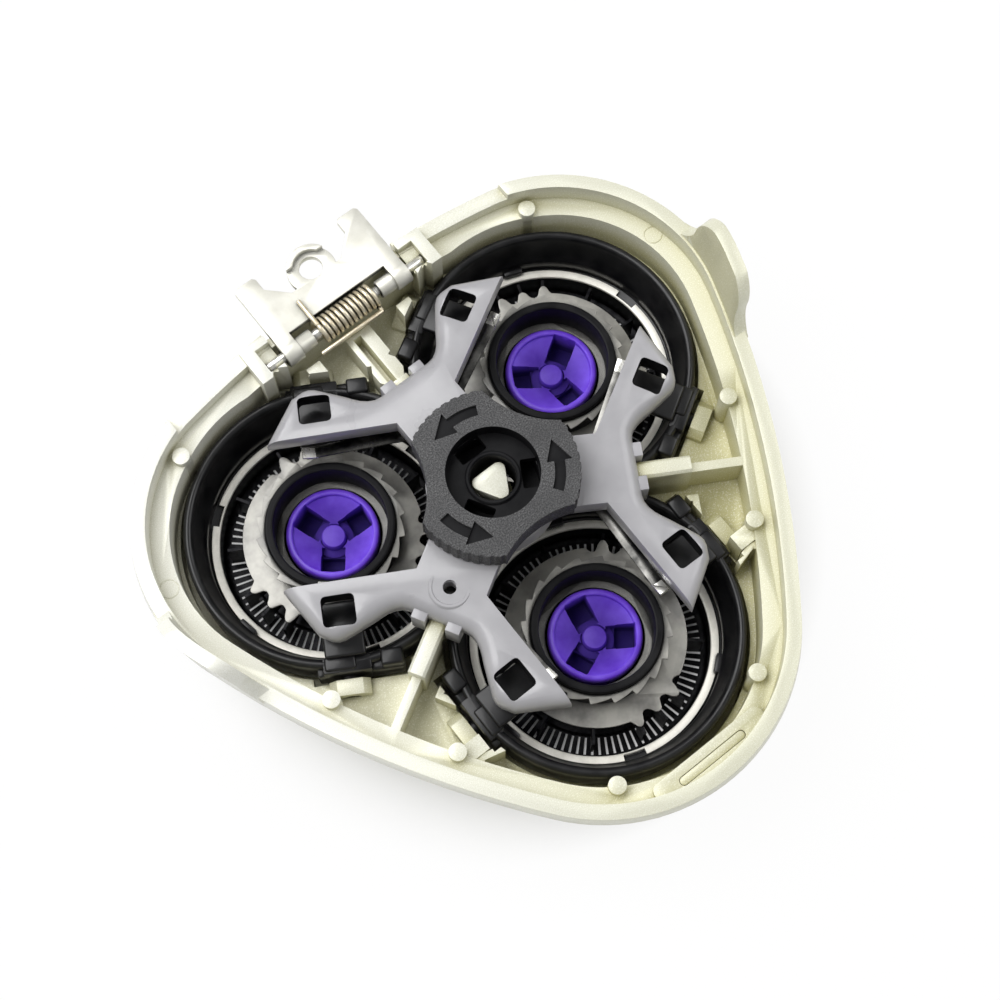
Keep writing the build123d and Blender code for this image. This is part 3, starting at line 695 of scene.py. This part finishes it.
# %% Retaining frame
WINDOW = Vector((9.76, 18.52))
FALL = math.tan(math.radians(5))
LOBE_FOOT, LOBE_TOP = 13.2, 15.75
HUB_R = 6.0
right = [(3.2, 15.5), (3.9, 15.62), (4.55, 16.0), (5.15, 16.55), (5.6, 17.15), (6.1, 17.9), (7.2, 19.4),
         (8.2, 20.7), (8.75, 21.15), (9.4, 21.35), (10.9, 21.35), (16.1, 18.6), (3.9, 11.56), (3.9, 6.5)]
lobe = slab("lobe", [(-x, y) for x, y in reversed(right)] + right, LOBE_FOOT, LOBE_TOP)
choose(lobe)
bpy.ops.object.mode_set(mode="EDIT")
bpy.ops.mesh.select_mode(type="EDGE")
bpy.ops.mesh.select_all(action="DESELECT")
done()
spots = [point.co / MM for point in lobe.data.vertices]


def on_contour(edge):
    middle = (spots[edge.vertices[0]] + spots[edge.vertices[1]]) / 2
    flat = all(spots[point].z > LOBE_TOP - 0.05 for point in edge.vertices)
    return flat and middle.y > 15.4


for edge in lobe.data.edges:
    edge.select = on_contour(edge)
bpy.ops.object.mode_set(mode="EDIT")
bpy.ops.mesh.bevel(offset=1.5 * MM, segments=6, affect="EDGES", clamp_overlap=True)
done()
for point in lobe.data.vertices:
    point.co.z += (WINDOW.y * MM - point.co.y) * FALL
holes = []
for side in (1, -1):
    hole = soften(block(-1.75, 1.75, -1.6, 1.6, 8, 24), 0.5, 3)
    turn(hole, math.radians(30) * side)
    hole.data.transform(Matrix.Translation((WINDOW.x * side * MM, WINDOW.y * MM, 0)))
    holes.append(hole)
combine(lobe, holes)
apply(lobe, "BEVEL", width=0.2 * MM, segments=2, limit_method="ANGLE", angle_limit=math.radians(50))
feet = []
for side in (1, -1):
    x = sorted((side * 1.1, side * 2.7))
    feet.append(soften(block(*x, 15.0, 16.3, 11.4, 15.2), 0.12))
lobe = join([lobe] + feet)
shield = join(ring_of(lobe, [0, math.radians(120), math.radians(240)]))
hub = lathe("hub", [(HUB_R, 13.6), (7.1, 13.6), (7.1, 16.4), (HUB_R, 16.4), (HUB_R, 13.6)], 96)
combine(shield, drum(HUB_R, 5, 30, 96))
combine(shield, drum(9.6, 16.55, 40, 96))
eye = Vector((-10.5, -6.1, 0))
ring = lathe("ring", [(0.7, 14.0), (2.3, 14.0), (2.3, 16.2), (2.15, 16.35), (1.9, 16.35), (1.75, 16.1),
                      (0.95, 16.02), (0.7, 15.9), (0.7, 14.0)], 64)
ring.data.transform(Matrix.Translation(eye * MM))
combine(shield, drum(0.75, 5, 30, 32, eye.xy))
shield = join([shield, hub, ring])
shield.data.materials.append(FINISHES["grey_plastic"])
shield.data.materials.append(FINISHES["collar_plastic"])
# The side walls of the windows get the plain black: painted shade.
for face in shield.data.polygons:
    for lobe in LOBES:
        spot = Matrix.Rotation(math.pi / 2 - lobe, 4, "Z") @ face.center / MM
        in_window = math.hypot(abs(spot.x) - WINDOW.x, spot.y - WINDOW.y) < 2.3
        if in_window and abs(face.normal.z) < 0.3:
            face.material_index = 1
shield.data.transform(Matrix.Translation(HEAD))
choose(shield)
bpy.ops.object.shade_smooth_by_angle(angle=math.radians(35))
shield.name = "retaining_frame_fine"
fit_out(shield, "shell", "grey_plastic", "retaining_frame")

# %% [markdown]
# The plate, the pin, the flat springs and the shell keep the shape of their solids. A copy of each is
# merged, its flat faces are joined up again, and a small bevel rounds every edge the way moulding,
# tumbling and plating do.


# %% Dressed copies
def dressed(node, body, width, segments=2, angle=30):
    piece = bpy.data.objects.new(node + "_fine", nodes[node].data.copy())
    bpy.context.scene.collection.objects.link(piece)
    choose(piece)
    bpy.ops.object.mode_set(mode="EDIT")
    bpy.ops.mesh.select_all(action="SELECT")
    bpy.ops.mesh.remove_doubles(threshold=0.001 * MM)
    bpy.ops.mesh.dissolve_limited(angle_limit=math.radians(0.6))
    done()
    soften(piece, width, segments, angle)
    fit_out(piece, body, SLOT_OF[node], node)
    return piece


TAB_Z = 11.93
dressed("hinge_bracket", "bracket", 0.12)
dressed("hinge_pin", "shell", 0.08)
for letter in "abc":
    leaf = dressed("leaf_spring_" + letter, "shell", 0.05)
    # The tab above TAB_Z gets bright steel: a painted reflection on the tab.
    leaf.data.materials.append(FINISHES["bright_steel"])
    for face in leaf.data.polygons:
        face.material_index = int(face.center.z > TAB_Z * MM)

# %% [markdown]
# The shell gets what its solid lacks: a pad in the catch's slot, a higher three-sided tip on the post
# in pearl without painted hollow shade, the faint rings that ejector pins leave on the ledge, and deeper
# painted shade on the inner slope of the wings.


# %% Shell
def ejector_mark(place, radius=1.0):
    bpy.ops.object.select_all(action="DESELECT")
    bpy.ops.mesh.primitive_torus_add(major_radius=radius * MM, minor_radius=0.05 * MM, major_segments=48,
                                     minor_segments=8, location=HEAD + Vector(place) * MM)
    mark = bpy.context.object
    bpy.ops.object.transform_apply(location=True, rotation=True, scale=True)
    return mark


PAD_LONG, PAD_R, CATCH_Y, LEDGE_Z, TIP_R = 7.55, 0.46, -36.1, 12.0, 1.5
LEDGE_MARKS = ((33.2, 13.0), (-33.2, 13.0))
shell = dressed("head_shell", "shell", 0.14)
wing_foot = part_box("head_shell")[1].z - 6.2 * MM
shell.data.materials.append(SHADED_PEARL)
# Inward-facing slopes of the wings get the copy with deeper painted shade.
for face in shell.data.polygons:
    inward = face.normal.xy.dot((face.center - HEAD).xy) < 0
    face.material_index = int(inward and face.center.z > wing_foot and -0.1 < face.normal.z < 0.6)
ends = [(x + PAD_LONG / 2 * side, y + CATCH_Y) for side in (1, -1)
        for x, y in arc(PAD_R, 90 - 90 * side - 90, 90 - 90 * side + 90, 8)]
pad = soften(slab("pad", ends, 9.0, 12.85), 0.1)
marks = [ejector_mark((*spot, LEDGE_Z)) for spot in LEDGE_MARKS]
corners = [(TIP_R * math.cos(a) + x, TIP_R * math.sin(a) + y) for a in FACING.values()
           for x, y in arc(0.75, math.degrees(a) - 60, math.degrees(a) + 60, 6)]
tip = soften(slab("tip", corners, 14.5, 16.9), 0.12)
for extra in (pad, tip):
    extra.data.transform(Matrix.Translation(HEAD))
for extra in (pad, tip, *marks):
    extra.data.materials.append(LIT_PEARL if extra == tip else FINISHES["pearl_plastic"])
    choose(extra)
    bpy.ops.object.shade_smooth_by_angle(angle=math.radians(40))
shell = join([shell, pad, tip, *marks])
print("shell with its pad, post tip and", len(marks), "marks")

# %% [markdown]
# The hinge plate is sprung by a coil of wire round the pin. One ring of wire is drawn and the Screw
# modifier winds it twelve times along the pin, then straight ends are added: one presses on the plate and
# the other lies across the shell.

# %% Hinge spring
low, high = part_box("hinge_pin")
HINGE = Vector((HEAD.x, (low.y + high.y) / 2, (low.z + high.z) / 2)) / MM
WIRE, COIL_R, TURNS, COIL_LONG = 0.27, 1.3, 12, 7.5


def bar(first, last):
    first, last = Vector(first), Vector(last)
    length = (last - first).length
    rod = soften(drum(WIRE, -length / 2, length / 2, 16), WIRE * 0.5, 2)
    facing = (last - first).to_track_quat("Z", "Y").to_matrix().to_4x4()
    rod.data.transform(Matrix.Translation((first + last) / 2 * MM) @ facing)
    return rod


coil = start("coil", bpy.ops.mesh.primitive_circle_add, vertices=14, radius=WIRE * MM,
             location=(COIL_R * MM, 0, 0), rotation=(math.pi / 2, 0, 0))
done()
apply(coil, "SCREW", axis="Z", steps=28, render_steps=28, iterations=TURNS, angle=math.tau,
      screw_offset=COIL_LONG / TURNS * MM, use_merge_vertices=True, merge_threshold=0.001 * MM)
choose(coil)
bpy.ops.object.mode_set(mode="EDIT")
bpy.ops.mesh.select_all(action="SELECT")
bpy.ops.mesh.fill_holes(sides=14)
clean()
done()
coil.data.transform(Matrix.Translation((0, 0, -COIL_LONG / 2 * MM)))
coil.data.transform(Matrix.Translation(HINGE * MM) @ Matrix.Rotation(math.pi / 2, 4, "Y"))
x, y, z = HINGE
peg = bar((x - 3.5, y + 0.2, z + 1.42), (x - 3.5, y + 3.9, z + 1.46))
drop = bar((x + 3.5, y - 2.1, z - 0.55), (x + 3.5, y - 0.2, z - 1.0))
rest = bar((x - 4.8, y - 2.05, z - 0.55), (x + 3.6, y - 2.05, z - 0.55))
spring = join([coil, peg, drop, rest])
choose(spring)
bpy.ops.object.shade_smooth_by_angle(angle=math.radians(60))
spring.name = "hinge_spring_fine"
fit_out(spring, "bracket", "spring_wire", "hinge_spring")

# %% [markdown]
# The head lies on white paper. The camera, mirrors and glass see the paper as plain white, and a share of
# ordinary white paint keeps the soft shadow under the head. The white glow fades out towards the head's
# axis between 38 and 25 mm: a painted shadow round the head.


# %% Paper and world
def paper_white():
    finish = Finish("paper_white", Base_Color=rgb(0.9, 0.9, 0.9), Roughness=0.9)
    tree = finish.tree
    path = tree.nodes.new("ShaderNodeLightPath")
    rays = Wire(finish, path.outputs["Is Camera Ray"]) + Wire(finish, path.outputs["Is Glossy Ray"])
    rays = rays + Wire(finish, path.outputs["Is Transmission Ray"])
    glow = finish.node("ShaderNodeEmission", None, {"Color": rgb(1, 1, 1), "Strength": 1.0}, out="Emission")
    blend = tree.nodes.new("ShaderNodeMixShader")
    from_axis = finish.node("ShaderNodeVectorMath", {"operation": "DISTANCE"}, {0: finish.place, 1: HEAD},
                            out="Value")
    # The glow fades towards the head's axis: painted shadow round the head.
    share = rays.clamped(0, 1, 0.0, 0.95) * from_axis.clamped(25 * MM, 38 * MM, 0.02, 1.0)
    finish.feed(blend.inputs[0], share)
    tree.links.new(finish.shader.outputs[0], blend.inputs[1])
    tree.links.new(glow.socket, blend.inputs[2])
    tree.links.new(blend.outputs[0], tree.nodes["Material Output"].inputs["Surface"])
    return finish.material


bpy.ops.object.select_all(action="DESELECT")
bpy.ops.mesh.primitive_plane_add(size=3.0, location=(0, 0, -0.00005))
paper = bpy.context.object
paper.name = "paper"
bpy.ops.object.transform_apply(location=True, rotation=True, scale=True)
paper.data.materials.append(paper_white())

world = bpy.data.worlds.new("studio")
bpy.context.scene.world = world
world.use_nodes = True
air = world.node_tree
sky = air.nodes["Background"]
path = air.nodes.new("ShaderNodeLightPath")
level = air.nodes.new("ShaderNodeMapRange")
level.inputs["To Min"].default_value, level.inputs["To Max"].default_value = 0.33, 1.0
air.links.new(path.outputs["Is Camera Ray"], level.inputs["Value"])
sky.inputs["Color"].default_value = rgb(1, 1, 1)
air.links.new(level.outputs["Result"], sky.inputs["Strength"])
print("paper and world ready")

# %% View transform
bpy.context.scene.view_settings.view_transform = "Standard"
